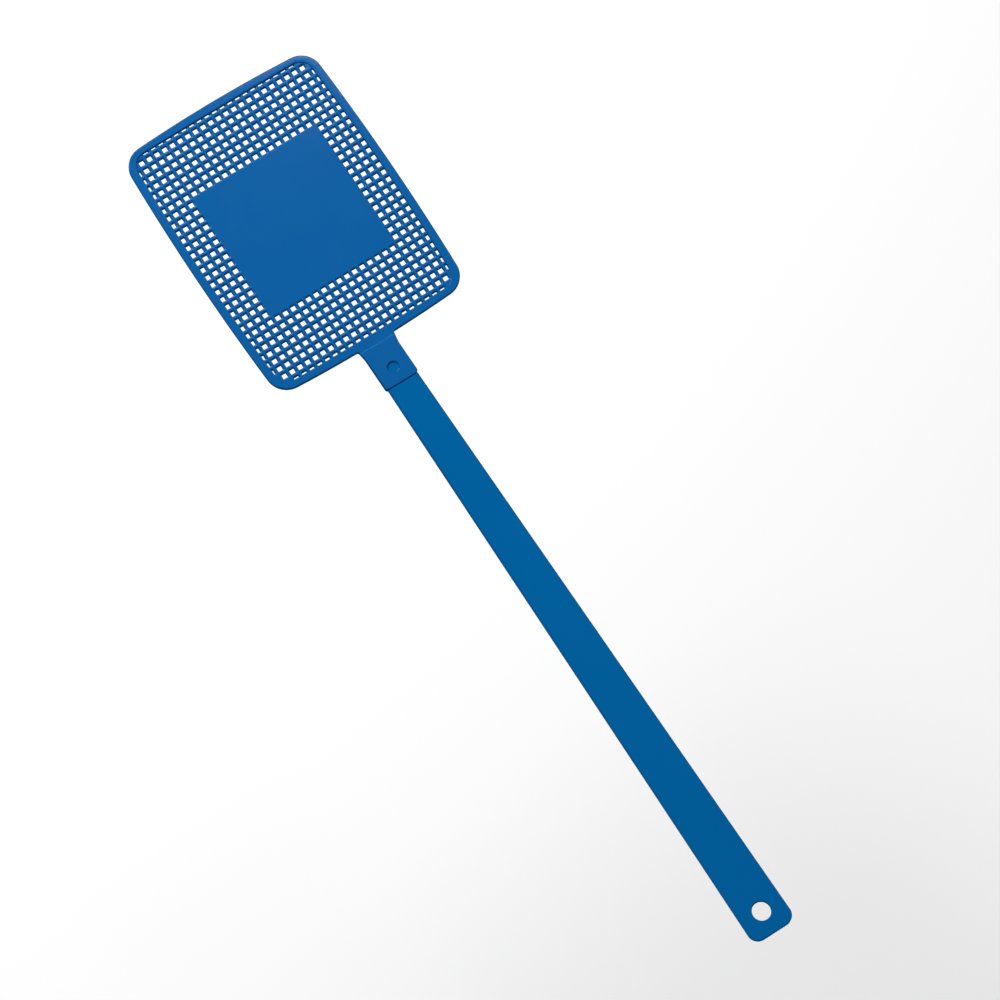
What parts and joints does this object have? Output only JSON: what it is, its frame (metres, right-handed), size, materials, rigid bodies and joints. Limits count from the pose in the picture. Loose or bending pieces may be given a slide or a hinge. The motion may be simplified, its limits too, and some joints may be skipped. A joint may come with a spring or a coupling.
{
  "type": "fly swatter",
  "caption": "Flat plastic fly swatter: a soft perforated paddle with a plain square panel, whose socket snaps onto a stiff tapered strip handle with a hanging hole.",
  "frame": {"origin": "under the middle of the overall length and width, on the plane of the back of the socket (Z = 0)", "axes": "+Y from the grip towards the top of the head, +X across the head, +Z out of the front face; the swatter lies flat, face up"},
  "size_m": [0.1024, 0.4494, 0.0045],
  "materials": {
    "head_plastic": "satin soft polyethylene, mid blue",
    "handle_plastic": "smooth semi-gloss stiff plastic, slightly greener blue"
  },
  "bodies": {
    "handle": {"handle": "handle_plastic"},
    "head": {"swatter_head": "head_plastic"}
  },
  "joints": [
    {"name": "head_pull_off", "type": "slide", "parent": "handle", "child": "head", "axis": [0, 1, 0], "range_m": [0, 0.02]}
  ]
}
